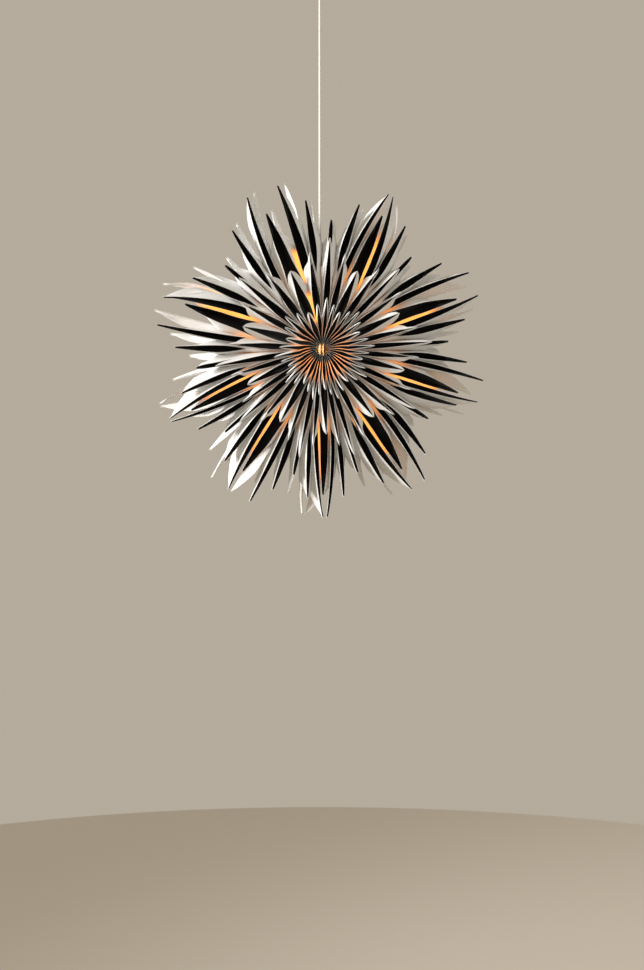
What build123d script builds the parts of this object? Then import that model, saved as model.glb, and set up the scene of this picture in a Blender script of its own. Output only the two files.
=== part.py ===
from build123d import *
import os
from math import cos, radians, sin, sqrt, hypot

# A large folded card star lantern with its light inside, hung on a cord.
# Millimetres. The ceiling is the plane Z = 0, the cord hangs down the Z axis,
# and the star faces -Y. Polar angles run anticlockwise from +X, seen from the front.

# ---------------------------------------------------------------- the star
FULL_TURN = 360.0          # degrees
STAR_DROP = 820.0          # ceiling to the centre of the star
CARD = 0.4                 # thickness of the card
FOLD = 1.0                 # depth of card in a fold
GLUE = 0.3                 # gap left for the glue between two leaves
TWIST = 5.0                # how far the back crown lags behind the front one, degrees
POLE_HOLE = 11.0           # radius of the hole at each pole
INNER_DEPTH = 33.0         # half depth of the lamp space at the pole
SEAM_INNER = 200.0         # where the two crowns meet, inner and outer radius
SEAM_OUTER = 232.0
SEAM_GAPE = 7.0            # how far the closing leaf stands open along its fold
EVEN_UNTIL = 50.0          # inside this radius the leaves crowd evenly round the pole
LEAN_FROM = 150.0          # outside this radius the spikes lean to their tips

RIM_DEPTH = 36.0           # depth of the rim at the pole, then at the three rings of points
POINT_DEPTH = {"inner": 50.0, "middle": 47.0, "outer": 40.0}
NOTCH_DEPTH = 33.0         # depth of the notches between two rings
NOTCH_BACK = {"inner": 30.0, "middle": 32.0}    # how far a notch lies inside its point
SLIT_DROP = {"inner": 7.0, "middle": 6.0, "outer": 2.0}    # how far a slit lies below it
SLIT_DEPTH = {ring: POINT_DEPTH[ring] - SLIT_DROP[ring] for ring in POINT_DEPTH}
LEAN_DEPTH = SLIT_DEPTH["outer"]       # the lean grows from the middle plane to this depth
NOTCH_WIDTH = 1.15         # half width at a notch, as a share of the slit inside it
# Radius and depth at which the leaves touch, then how far out along a spike and how
# deep its side is widest.
BELLY = {"inner": (50.0, 32.0), "middle": (118.0, 25.0), "outer": (215.0, 17.0)}
SPIKE_SIDE = (0.35, 25.0)
SPIKE_FOLD_DEPTH = 12.0    # depth of the fold half way out along a spike
SPIKE_END = 4.0            # length of the blunt end of a spike
POINT_GAP = {"inner": 0.3, "middle": 0.3, "outer": 1.4}    # open width left at a point
POLE_GAP = 0.1

# Each kind of leaf: radius of its three points, half width of its three slits,
# radius of its outer slit, half width of its spike's side, its share of the way round.
LONG_POINTS = (88, 187, 350)
KINDS = {
    "short": {"points": (106, 229, 269), "slits": (2.3, 4.2, 3.6), "slit_at": 245,
              "side": 7.0, "share": 3.3},
    "middling": {"points": (94, 200, 310), "slits": (2.2, 4.4, 5.8), "slit_at": 222,
                 "side": 9.0, "share": 3.2},
    "long": {"points": LONG_POINTS, "slits": (1.4, 3.2, 5.2), "slit_at": 212,
             "side": 8.0, "share": 2.0},
    "centre": {"points": (83, 175, 304), "slits": (4.0, 8.5, 8.0), "slit_at": 222,
               "side": 12.0, "share": 5.9},
    "open long": {"points": LONG_POINTS, "slits": (1.6, 3.4, 7.8), "slit_at": 212,
                  "side": 9.5, "share": 2.4},
}
USUAL_GROUP = 40.0         # degrees taken by a group whose slits have these widths
# Where the six leaves of a group stand between one short leaf and the next.
GROUP = [("short", 0.0), ("middling", 0.1625), ("long", 0.2875),
         ("centre", 0.5), ("open long", 0.7125), ("middling", 0.8375)]
# How far the inner two slits of each group's leaves stand open.
OPENNESS = (1.5, 1.1, 1.0, 1.0, 0.8, 0.95, 0.9, 1.2, 1.6)
MOST_ROOM = 0.92           # of the room that a leaf has, its slits take no more than this
# The hand folded star is uneven: the polar angle of each spike's tip, group by group.
TIPS = [
    (86.4, 75.7, 66.6, 65.8, 65.3, 55.9),
    (45.7, 35.3, 27.1, 20.0, 18.8, 11.6),
    (3.4, -5.3, -11.1, -17.8, -18.6, -22.4),
    (-33.1, -45.3, -51.8, -56.4, -57.1, -65.3),
    (-74.0, -82.0, -88.7, -90.2, -90.0, -96.1),
    (-103.5, -110.2, -116.2, -124.1, -124.6, -132.0),
    (-140.5, -148.0, -155.2, -155.8, -156.0, -163.1),
    (-171.9, -180.9, -188.4, -197.9, -197.6, -208.2),
    (-220.0, -232.1, -243.1, -246.8, -254.0, -263.0),
]
CLOSING_GROUP = 8          # the group whose centre leaf closes the star

# ---------------------------------------------------------------- the cord and the lamp
CORD_RADIUS = 2.5
CORD_PLAY = 0.05           # round the cord where something grips it
SLIDE_PLAY = 0.1           # round the cord where something slides
TURN_PLAY = 0.05           # round the collar that the star turns on
SEAT = 0.3                 # gap at a seat between round pieces

WIRE_RADIUS = 1.2          # the hanger
HANGER_ANGLES = (75.5, 101.5)
EYE_RADIUS = 7.0
EYE_HEIGHT = 9.0
COLLAR_SPIGOT = 5.0
COLLAR_FLANGE = 6.8
COLLAR_BODY = 5.5
COLLAR_LENGTHS = {"body": 10.0, "flange": 2.5}
GRUB_RADIUS = 1.5

BULB_RADIUS = 22.5
BULB_GLASS = 0.8
BULB_NECK = 6.2            # radius of the neck inside the cap
BULB_NECK_TOP = 34.0       # height of the neck's end over the bulb's centre
CAP_RADIUS = 6.95          # small edison screw
CAP_BOTTOM = 28.0
CAP_TOP = 47.0
CAP_WALL = 0.5
FILAMENT_ENDS = (-13.0, 15.0)      # heights of the filament rods' two ends
FILAMENT_SPREAD = 7.0      # how far they stand from the axis
FILAMENT_RADIUS = 0.8
STEM_RADIUS = 1.6
SPIDER_THICK = 0.6
BULB_TIP = 55.0            # height of the contact at the bulb's end
TIP_RADIUS = 2.4

HOLDER_RADIUS = 13.9
HOLDER_WALL = 1.5
HOLDER_BOTTOM = 31.0
HOLDER_TOP = 66.0
SHELL_PLAY = 0.3           # between the bulb's cap and the screw shell
SHELL_WALL = 0.6
HOLDER_CAP_HEIGHT = 14.0
NUT_RADIUS = 6.5
NUT_HEIGHT = 9.0

# ---------------------------------------------------------------- the ceiling rose
PLATE_RADIUS = 40.0
PLATE_THICK = 2.0
SLOT_SPACING = 54.0
SLOT_LENGTH = 12.0
SLOT_WIDTH = 4.5
CABLE_HOLE = 5.0           # radius of the way in for the supply cable
CABLE_HOLE_AT = 16.0       # how far it lies behind the middle of the plate
TAB_WIDTH = 22.0
TAB_LENGTH = 34.0
CLAMP_HEIGHT = 9.0
CLAMP_DEPTH = 6.6
SCREW_RADIUS = 1.5
SCREW_HEAD = 2.7
SCREW_HEAD_THICK = 1.8
SCREW_SPACING = 14.0
BLOCK = (26.0, 12.0, 14.0)
BLOCK_FRONT = -24.0
TERMINAL_SPACING = 11.0
CUP_RADIUS = 52.0
CUP_HEIGHT = 60.0
CUP_WALL = 1.2
CUP_CORNER = 26.0
CUP_RIM_GAP = 0.5
GRIP_RADIUS = 7.0
GRIP_HEIGHT = 14.0
GRIP_SPIGOT = 5.0


def save(name, solids):
    """Write one sub-part, whose solids keep their own shells."""
    solids = list(solids)
    shape = solids[0] if len(solids) == 1 else Compound(children=solids)
    shape.label = name
    export_step(shape, f"parts/{name}.step")


def turned(points, height=0.0):
    """A solid turned about the Z axis from (radius, height) points."""
    outline = Polyline(*[(r, 0, z) for r, z in points], close=True)
    return Pos(0, 0, height) * revolve(make_face(outline), Axis.Z)


def tube(outer, inner, low, high):
    return turned([(inner, low), (outer, low), (outer, high), (inner, high)])


def rod(radius, start, end):
    """A plain round bar between two points."""
    start, end = Vector(*start), Vector(*end)
    along = Plane(origin=start, z_dir=end - start)
    return extrude(along * Circle(radius), (end - start).length)


def mix(a, b, share):
    return a + (b - a) * min(max(share, 0.0), 1.0)


# ---------------------------------------------------------------- leaves
KEEL = ["pole_fold", "seam_in", "seam_out", "spike_fold", "spike_end"]
RIM = ["pole_fold", "pole_rim", "slit_1", "point_1", "notch_1", "slit_2", "point_2",
       "notch_2", "slit_3", "point_3", "spike_end"]
# One wall of a leaf is twenty flat facets between the named corners.
FACETS = [
    ("pole_fold", "belly_1", "pole_rim"), ("pole_rim", "belly_1", "slit_1"),
    ("belly_1", "notch_1", "slit_1"), ("slit_1", "notch_1", "point_1"),
    ("belly_1", "belly_2", "notch_1"), ("notch_1", "belly_2", "slit_2"),
    ("slit_2", "belly_2", "notch_2"), ("slit_2", "notch_2", "point_2"),
    ("belly_2", "belly_3", "notch_2"), ("notch_2", "belly_3", "slit_3"),
    ("belly_3", "spike_side", "slit_3"), ("slit_3", "spike_side", "point_3"),
    ("spike_side", "spike_end", "point_3"), ("spike_side", "spike_fold", "spike_end"),
    ("belly_3", "spike_fold", "spike_side"), ("belly_3", "seam_out", "spike_fold"),
    ("seam_in", "seam_out", "belly_3"), ("belly_2", "seam_in", "belly_3"),
    ("pole_fold", "seam_in", "belly_2"), ("pole_fold", "belly_2", "belly_1"),
]


def list_leaves():
    """Every leaf in order round the star: kind, foot angle, tip angle, group width."""
    leaves = []
    for group, tips in enumerate(TIPS):
        following = TIPS[group + 1][0] if group + 1 < len(TIPS) else TIPS[0][0] - FULL_TURN
        width = tips[0] - following
        for (kind, place), tip in zip(GROUP, tips):
            leaves.append({"kind": kind, "foot": tips[0] - place * width, "tip": tip,
                           "width": width, "group": group})
    step = FULL_TURN / len(leaves)
    start = sum(leaf["foot"] + step * i for i, leaf in enumerate(leaves)) / len(leaves)
    for i, leaf in enumerate(leaves):
        leaf["even"] = start - step * i
    return leaves


LEAVES = list_leaves()


def polar_angle(leaf, radius, depth):
    """The leaf's middle: even at the pole; outside, its rim leans and its fold doesn't."""
    inside = mix(leaf["even"], leaf["foot"], (radius - POLE_HOLE) / (EVEN_UNTIL - POLE_HOLE))
    reach = KINDS[leaf["kind"]]["points"][2] - LEAN_FROM
    lean = mix(0, 1, (radius - LEAN_FROM) / reach) * mix(0, 1, abs(depth) / LEAN_DEPTH)
    angle = mix(inside, leaf["tip"], lean)
    return angle - TWIST / 2 * (1 - depth / POINT_DEPTH["outer"])


def corner(leaf, front, radius, depth, sideways):
    """A point of the star; depth counts from its middle plane, front or back."""
    axial = depth if front else -depth
    turn = radians(polar_angle(leaf, radius, axial))
    return Vector(radius * cos(turn) - sideways * sin(turn), -axial,
                  radius * sin(turn) + sideways * cos(turn) - STAR_DROP)


def room(index, side, radius, depth):
    """The leaf's share of the way to its neighbour on one side (+1 or -1)."""
    leaf = LEAVES[index]
    other = LEAVES[(index - side) % len(LEAVES)]
    gap = (polar_angle(other, radius, depth) - polar_angle(leaf, radius, depth)) * side % FULL_TURN
    mine, theirs = KINDS[leaf["kind"]]["share"], KINDS[other["kind"]]["share"]
    return radius * radians(gap) * mine / (mine + theirs) - GLUE / 2


def leaf_corners(index):
    """Corner name -> radius, depth, width to the left, width to the right."""
    leaf = LEAVES[index]
    kind = KINDS[leaf["kind"]]
    openness = OPENNESS[leaf["group"]]
    spread = min(1.0, leaf["width"] / USUAL_GROUP)
    points = dict(zip(("inner", "middle", "outer"), kind["points"]))
    slits = dict(zip(("inner", "middle"), (width * openness for width in kind["slits"])))
    slits["outer"] = kind["slits"][2] * spread
    seam = GLUE / 2
    half_way = mix(SEAM_OUTER, points["outer"], 0.5)
    corners = {
        "pole_fold": (POLE_HOLE, INNER_DEPTH, 0),
        "seam_in": (SEAM_INNER, seam, 0),
        "seam_out": (SEAM_OUTER, seam, 0),
        "spike_fold": (half_way, SPIKE_FOLD_DEPTH, 0),
        "spike_end": (points["outer"] - SPIKE_END, POINT_DEPTH["outer"] - SPIKE_END / 2, 0),
        "pole_rim": (POLE_HOLE, RIM_DEPTH, POLE_GAP / 2 + CARD),
    }
    low = POLE_HOLE
    for number, ring in enumerate(("inner", "middle", "outer"), 1):
        point = points[ring]
        slit_at = kind["slit_at"] if ring == "outer" else mix(low, point, 0.55)
        gap = POINT_GAP[ring] / 2 + CARD
        corners[f"slit_{number}"] = (slit_at, SLIT_DEPTH[ring], slits[ring])
        corners[f"point_{number}"] = (point, POINT_DEPTH[ring], gap)
        if ring != "outer":
            low = point - NOTCH_BACK[ring]
            corners[f"notch_{number}"] = (low, NOTCH_DEPTH, slits[ring] * NOTCH_WIDTH)
    widths = {}
    for name, (r, z, width) in corners.items():
        left, right = width, width
        if name.startswith(("slit", "notch")):
            left, right = (min(width, MOST_ROOM * room(index, side, r, z)) for side in (1, -1))
        widths[name] = (r, z, left, right)
    for number, ring in enumerate(("inner", "middle", "outer"), 1):
        left, right = (room(index, side, *BELLY[ring]) for side in (1, -1))
        widths[f"belly_{number}"] = (*BELLY[ring], left, right)
    along, depth = SPIKE_SIDE
    radius = mix(BELLY["outer"][0], points["outer"], along)
    width = kind["side"] * spread
    left, right = (min(width, room(index, side, radius, depth)) for side in (1, -1))
    widths["spike_side"] = (radius, depth, left, right)
    return widths


def inward(corners, name):
    """The inner side of a fold: a step into the leaf, square to the fold's line."""
    ring = KEEL + RIM[-2:0:-1]
    at = ring.index(name)
    before, here, after = (corners[ring[(at + k) % len(ring)]] for k in (-1, 0, 1))
    normals = []
    for a, b in ((before, here), (here, after)):
        dr, dz = b[0] - a[0], b[1] - a[1]
        normals.append((-dz / hypot(dr, dz), dr / hypot(dr, dz)))
    dr, dz = (normals[0][k] + normals[1][k] for k in (0, 1))
    return here[0] + FOLD * dr / hypot(dr, dz), here[1] + FOLD * dz / hypot(dr, dz)


def closed_solid(triangles):
    faces = [Face(Wire.make_polygon(corners, close=True)) for corners in triangles]
    return Solid(Shell(faces))


def folded_leaf(index, front):
    """One leaf: two card walls that meet in a fold and open towards the pole."""
    leaf = LEAVES[index]
    corners = leaf_corners(index)
    skins = {}
    for side in (1, -1):
        for skin in ("outer", "inner"):
            spots = {}
            for name, (r, z, left, right) in corners.items():
                width = left if side > 0 else right
                if name in KEEL:
                    r, z = (r, z) if skin == "outer" else inward(corners, name)
                elif skin == "inner":
                    width -= CARD
                spots[name] = corner(leaf, front, r, z, side * width)
            skins[side, skin] = spots
    triangles = []
    for spots in skins.values():
        triangles += [[spots[name] for name in facet] for facet in FACETS]
    for side in (1, -1):
        outer, inner = skins[side, "outer"], skins[side, "inner"]
        for a, b in zip(RIM, RIM[1:]):
            triangles.append([outer[a], outer[b], inner[b]])
            triangles.append([outer[a], inner[b], inner[a]])
    return [closed_solid(triangles)]


def closing_leaf(index, front):
    """The centre leaf where the star closes: its two walls stand apart at the fold."""
    leaf = LEAVES[index]
    corners = leaf_corners(index)
    edge = KEEL + RIM[-2:0:-1]
    gape = {"pole_fold": SEAM_GAPE / 8, "seam_in": SEAM_GAPE, "seam_out": SEAM_GAPE,
            "spike_fold": SEAM_GAPE / 2, "spike_end": POINT_GAP["outer"] / 2}
    walls = []
    for side in (1, -1):
        skins = []
        for thick in (CARD, 0):
            spots = {}
            for name, (r, z, left, right) in corners.items():
                width = left if side > 0 else right
                width = gape[name] + CARD if name in gape else width
                width -= CARD - thick
                spots[name] = corner(leaf, front, r, z, side * width)
            skins.append(spots)
        outer, inner = skins
        triangles = [[spots[name] for name in facet] for spots in skins for facet in FACETS]
        for a, b in zip(edge, edge[1:] + edge[:1]):
            triangles.append([outer[a], outer[b], inner[b]])
            triangles.append([outer[a], inner[b], inner[a]])
        walls.append(closed_solid(triangles))
    return walls


def crown(side_name, front):
    """Half of the star: nine groups, each kept as two runs of three leaves."""
    for group in range(len(TIPS)):
        for run, first in (("a", 0), ("b", 3)):
            solids = []
            for place in range(first, first + 3):
                closes = group == CLOSING_GROUP and GROUP[place][0] == "centre"
                make = closing_leaf if closes else folded_leaf
                solids += make(group * len(GROUP) + place, front)
            save(f"{side_name}_leaves_{group + 1}{run}", solids)


# ---------------------------------------------------------------- hanger and collar
def hanger_height():
    """How high the wire lies over the star's centre, in the groove of the leaves."""
    run, rise = SEAM_INNER - POLE_HOLE, INNER_DEPTH - GLUE / 2
    slope = rise / hypot(run, rise)
    return SEAM_INNER - (WIRE_RADIUS + SEAT) / slope


HANGER = hanger_height()
EYE_BOTTOM = HANGER + WIRE_RADIUS - EYE_HEIGHT - STAR_DROP


def hanger():
    """A bent wire under the inner edges of the top leaves, with an eye for the collar."""
    centre = (0, 0, -STAR_DROP)
    section = Plane(origin=(0, 0, HANGER - STAR_DROP), z_dir=(1, 0, 0)) * Circle(WIRE_RADIUS)
    axis = Axis(centre, (0, 1, 0))
    arms = [revolve(section, axis, 90 - angle) for angle in HANGER_ANGLES]
    eye = tube(EYE_RADIUS, COLLAR_SPIGOT, EYE_BOTTOM, EYE_BOTTOM + EYE_HEIGHT)
    bore = Pos(0, 0, EYE_BOTTOM) * Cylinder(COLLAR_SPIGOT + TURN_PLAY, 3 * EYE_HEIGHT)
    return eye + arms[0] + arms[1] - bore


def collar():
    """The stop clamped on the cord; the eye of the hanger turns on its spigot."""
    flange_top = EYE_BOTTOM - SEAT
    flange_low = flange_top - COLLAR_LENGTHS["flange"]
    low = flange_low - COLLAR_LENGTHS["body"]
    bore = CORD_RADIUS + CORD_PLAY
    shape = turned([(bore, low), (COLLAR_BODY, low), (COLLAR_BODY, flange_low),
                    (COLLAR_FLANGE, flange_low), (COLLAR_FLANGE, flange_top),
                    (COLLAR_SPIGOT, flange_top), (COLLAR_SPIGOT, EYE_BOTTOM + EYE_HEIGHT),
                    (bore, EYE_BOTTOM + EYE_HEIGHT)])
    middle = low + COLLAR_LENGTHS["body"] / 2
    screw = rod(GRUB_RADIUS, (CORD_RADIUS + SEAT, 0, middle), (COLLAR_BODY - 0.5, 0, middle))
    hole = rod(GRUB_RADIUS + CORD_PLAY, (0, 0, middle), (COLLAR_BODY + 1, 0, middle))
    return shape - hole, screw


# ---------------------------------------------------------------- bulb and holder
def bulb_outline(radius, neck, top):
    """A globe that runs into its neck, as a face beside the axis."""
    join = -radius * 0.72
    at = sqrt(radius ** 2 - join ** 2)
    globe = ThreePointArc((0, 0, -radius), (radius, 0, 0), (at, 0, -join))
    throat = Line((at, 0, -join), (neck, 0, CAP_BOTTOM))
    stem = Line((neck, 0, CAP_BOTTOM), (neck, 0, top))
    lid = Line((neck, 0, top), (0, 0, top))
    return make_face([globe, throat, stem, lid, Line((0, 0, top), (0, 0, -radius))])


def bulb_glass():
    solid = revolve(bulb_outline(BULB_RADIUS, BULB_NECK, BULB_NECK_TOP), Axis.Z)
    hollow = revolve(bulb_outline(BULB_RADIUS - BULB_GLASS, BULB_NECK - BULB_GLASS,
                                  BULB_NECK_TOP + 1), Axis.Z)
    return Pos(0, 0, -STAR_DROP) * (solid - hollow)


def bulb_cap():
    inner = CAP_RADIUS - CAP_WALL
    skirt = turned([(BULB_NECK + 0.05, CAP_BOTTOM), (CAP_RADIUS, CAP_BOTTOM),
                    (CAP_RADIUS, CAP_TOP), (inner, CAP_TOP), (inner, BULB_NECK_TOP),
                    (BULB_NECK + 0.05, BULB_NECK_TOP)], -STAR_DROP)
    return skirt


def bulb_insulator():
    return turned([(0, CAP_TOP - 3), (CAP_RADIUS - CAP_WALL, CAP_TOP - 3),
                   (CAP_RADIUS - CAP_WALL, CAP_TOP), (CAP_RADIUS, CAP_TOP),
                   (TIP_RADIUS + 1, BULB_TIP - 2), (0, BULB_TIP - 2)], -STAR_DROP)


def bulb_tip():
    return turned([(0, BULB_TIP - 2), (TIP_RADIUS, BULB_TIP - 2), (TIP_RADIUS, BULB_TIP - 1),
                   (TIP_RADIUS / 2, BULB_TIP), (0, BULB_TIP)], -STAR_DROP)


def bulb_filament():
    """A glass stem with four upright filament rods between two spiders."""
    low, high = FILAMENT_ENDS
    shape = turned([(0, low), (STEM_RADIUS, low), (STEM_RADIUS, high),
                    (BULB_NECK - BULB_GLASS - 0.5, BULB_NECK_TOP),
                    (BULB_NECK - BULB_GLASS - 0.5, BULB_NECK_TOP + 3), (0, BULB_NECK_TOP + 3)])
    reach = FILAMENT_SPREAD + FILAMENT_RADIUS
    for height in (low, high - SPIDER_THICK):
        spider = Box(2 * reach, 2 * FILAMENT_RADIUS, SPIDER_THICK)
        middle = height + SPIDER_THICK / 2
        shape += Pos(0, 0, middle) * (spider + Rot(0, 0, 90) * spider)
    for x, y in ((1, 0), (-1, 0), (0, 1), (0, -1)):
        across, along = FILAMENT_SPREAD * x, FILAMENT_SPREAD * y
        shape += rod(FILAMENT_RADIUS, (across, along, low), (across, along, high))
    return Pos(0, 0, -STAR_DROP) * shape


def holder_body():
    inner = HOLDER_RADIUS - HOLDER_WALL
    return turned([(inner, HOLDER_BOTTOM), (HOLDER_RADIUS - 1, HOLDER_BOTTOM),
                   (HOLDER_RADIUS, HOLDER_BOTTOM + 2), (HOLDER_RADIUS, HOLDER_TOP),
                   (inner, HOLDER_TOP)], -STAR_DROP)


def holder_insert():
    """The moulded core: a floor behind the contacts and a sleeve round the screw shell."""
    shell = CAP_RADIUS + SHELL_PLAY + SHELL_WALL
    sleeve = shell + 1.6
    wide = HOLDER_RADIUS - HOLDER_WALL - 0.05
    floor = BULB_TIP + 3
    return turned([(shell + 0.05, HOLDER_BOTTOM + 1), (sleeve, HOLDER_BOTTOM + 1),
                   (sleeve, floor - 4), (wide, floor - 4), (wide, HOLDER_TOP - 2),
                   (0, HOLDER_TOP - 2), (0, floor), (shell + 0.05, floor)], -STAR_DROP)


def holder_contacts():
    """The screw shell and the centre spring that the bulb's end meets."""
    inner = CAP_RADIUS + SHELL_PLAY
    shell = Pos(0, 0, -STAR_DROP) * tube(inner + SHELL_WALL, inner, HOLDER_BOTTOM + 2, BULB_TIP)
    spring = turned([(0, BULB_TIP + SEAT), (TIP_RADIUS, BULB_TIP + SEAT),
                     (TIP_RADIUS + 2, BULB_TIP + 3), (0, BULB_TIP + 3)], -STAR_DROP)
    return [shell, spring]


def holder_cap():
    inner = HOLDER_RADIUS - HOLDER_WALL
    low, high = HOLDER_TOP, HOLDER_TOP + HOLDER_CAP_HEIGHT
    bore = CORD_RADIUS + CORD_PLAY
    return turned([(HOLDER_RADIUS, low), (HOLDER_RADIUS, low + 7), (NUT_RADIUS + 1, high),
                   (bore, high), (bore, high - HOLDER_WALL), (NUT_RADIUS, high - HOLDER_WALL),
                   (inner, low + 6.4), (inner, low)], -STAR_DROP)


def holder_nut():
    """The cord grip on top of the holder, with six flats."""
    low = HOLDER_TOP + HOLDER_CAP_HEIGHT - STAR_DROP
    nut = extrude(Pos(0, 0, low) * RegularPolygon(NUT_RADIUS, 6), NUT_HEIGHT / 2)
    top = turned([(0, NUT_HEIGHT / 2), (NUT_RADIUS - 1.2, NUT_HEIGHT / 2), (4, NUT_HEIGHT),
                  (0, NUT_HEIGHT)], low)
    bore = Pos(0, 0, low) * Cylinder(CORD_RADIUS + CORD_PLAY, 3 * NUT_HEIGHT)
    return nut + top - bore


def cord():
    """One straight drop, from the clamp under the ceiling into the lampholder."""
    low = HOLDER_TOP + 2 - STAR_DROP
    high = -PLATE_THICK - 8
    return rod(CORD_RADIUS, (0, 0, low), (0, 0, high))


# ---------------------------------------------------------------- ceiling rose
def ceiling_plate():
    """A disc with two fixing slots and a folded tab that carries the cord clamp."""
    plate = Pos(0, 0, -PLATE_THICK / 2) * Cylinder(PLATE_RADIUS, PLATE_THICK)
    plate -= Pos(0, CABLE_HOLE_AT, 0) * Cylinder(CABLE_HOLE, 3 * PLATE_THICK)
    slot = extrude(SlotOverall(SLOT_LENGTH, SLOT_WIDTH), 2 * PLATE_THICK, both=True)
    for side in (-1, 1):
        plate -= Pos(side * SLOT_SPACING / 2, 0, 0) * slot
    face = CORD_RADIUS + CORD_PLAY
    tab = Pos(0, face + PLATE_THICK / 2, -PLATE_THICK - TAB_LENGTH / 2)
    plate += tab * Box(TAB_WIDTH, PLATE_THICK, TAB_LENGTH)
    for side in (-1, 1):
        plate -= screw_at(side, SCREW_RADIUS + CORD_PLAY, face - 1, face + 2 * PLATE_THICK)
    return plate


def screw_at(side, radius, front, back):
    height = -PLATE_THICK - TAB_LENGTH + CLAMP_HEIGHT
    across = side * SCREW_SPACING / 2
    return rod(radius, (across, front, height), (across, back, height))


def cord_clamp():
    """A saddle with a deep groove that presses the cord against the tab."""
    height = -PLATE_THICK - TAB_LENGTH + CLAMP_HEIGHT
    face = CORD_RADIUS + CORD_PLAY
    block = Pos(0, face - CLAMP_DEPTH / 2, height) * Box(TAB_WIDTH, CLAMP_DEPTH, CLAMP_HEIGHT)
    block -= Pos(0, 0, height) * Cylinder(face, 3 * CLAMP_HEIGHT)
    block -= Pos(0, face, height) * Box(2 * face, 2 * face, 3 * CLAMP_HEIGHT)
    for side in (-1, 1):
        block -= screw_at(side, SCREW_RADIUS + CORD_PLAY, face - 2 * CLAMP_DEPTH, face + 1)
    return block


def clamp_screws():
    face = CORD_RADIUS + CORD_PLAY
    front = face - CLAMP_DEPTH
    back = face + PLATE_THICK + 1
    return [screw_at(side, SCREW_RADIUS, front, back)
            + screw_at(side, SCREW_HEAD, front - SCREW_HEAD_THICK, front) for side in (-1, 1)]


def terminal_block():
    """Two joined terminals with a wire channel and a screw well each."""
    wide, deep, high = BLOCK
    middle = BLOCK_FRONT + deep / 2
    block = Pos(0, middle, -PLATE_THICK - high / 2) * Box(wide, deep, high)
    screws = []
    for side in (-1, 1):
        across = side * TERMINAL_SPACING / 2
        block -= rod(1.6, (across, middle - deep, -PLATE_THICK - 7),
                     (across, middle + deep, -PLATE_THICK - 7))
        block -= rod(2.2, (across, middle, -PLATE_THICK - high - 1),
                     (across, middle, -PLATE_THICK - 9))
        screws.append(rod(2.1, (across, middle, -PLATE_THICK - high + 1),
                          (across, middle, -PLATE_THICK - 9.2)))
    return block, screws


def canopy_cup():
    """The cover that slides up the cord against the ceiling."""
    def face(radius, top, bottom, corner_radius):
        wall = Line((radius, 0, top), (radius, 0, bottom + corner_radius))
        turn = ThreePointArc((radius, 0, bottom + corner_radius),
                             (radius - corner_radius * (1 - sqrt(0.5)), 0,
                              bottom + corner_radius * (1 - sqrt(0.5))),
                             (radius - corner_radius, 0, bottom))
        floor = Line((radius - corner_radius, 0, bottom), (0, 0, bottom))
        return make_face([wall, turn, floor, Line((0, 0, bottom), (0, 0, top)),
                          Line((0, 0, top), (radius, 0, top))])
    outer = face(CUP_RADIUS, -CUP_RIM_GAP, -CUP_HEIGHT, CUP_CORNER)
    inner = face(CUP_RADIUS - CUP_WALL, 1, CUP_WALL - CUP_HEIGHT, CUP_CORNER - CUP_WALL)
    cup = revolve(outer, Axis.Z) - revolve(inner, Axis.Z)
    return cup - Pos(0, 0, -CUP_HEIGHT) * Cylinder(GRIP_SPIGOT + 0.05, 4 * CUP_WALL)


def cup_grip():
    """The bush under the cup that holds it on the cord, and its grub screw."""
    bore = CORD_RADIUS + SLIDE_PLAY
    low = -CUP_HEIGHT - GRIP_HEIGHT
    inside = -CUP_HEIGHT + CUP_WALL
    shape = turned([(bore, low), (GRIP_RADIUS - 2, low), (GRIP_RADIUS, low + 5),
                    (GRIP_RADIUS, -CUP_HEIGHT), (GRIP_SPIGOT, -CUP_HEIGHT),
                    (GRIP_SPIGOT, inside), (GRIP_RADIUS + 1, inside),
                    (GRIP_RADIUS + 1, inside + 2), (bore, inside + 2)])
    middle = low + 9
    hole = rod(GRUB_RADIUS + CORD_PLAY, (0, 0, middle), (GRIP_RADIUS + 1, 0, middle))
    screw = rod(GRUB_RADIUS, (CORD_RADIUS + SEAT, 0, middle), (GRIP_RADIUS - 0.5, 0, middle))
    return shape - hole, screw


def build():
    os.makedirs("parts", exist_ok=True)
    crown("front", True)
    crown("back", False)
    collar_body, collar_screw = collar()
    block, terminal_screws = terminal_block()
    grip, grip_screw = cup_grip()
    pieces = {
        "hanger": [hanger()],
        "cord_collar": [collar_body],
        "collar_screw": [collar_screw],
        "cord": [cord()],
        "bulb_glass": [bulb_glass()],
        "bulb_cap": [bulb_cap()],
        "bulb_insulator": [bulb_insulator()],
        "bulb_tip": [bulb_tip()],
        "bulb_filament": [bulb_filament()],
        "holder_body": [holder_body()],
        "holder_insert": [holder_insert()],
        "holder_contacts": holder_contacts(),
        "holder_cap": [holder_cap()],
        "holder_nut": [holder_nut()],
        "ceiling_plate": [ceiling_plate()],
        "cord_clamp": [cord_clamp()],
        "clamp_screws": clamp_screws(),
        "terminal_block": [block],
        "terminal_screws": terminal_screws,
        "canopy_cup": [canopy_cup()],
        "cup_grip": [grip],
        "cup_screw": [grip_screw],
    }
    for name, solids in pieces.items():
        save(name, solids)


build()
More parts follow.
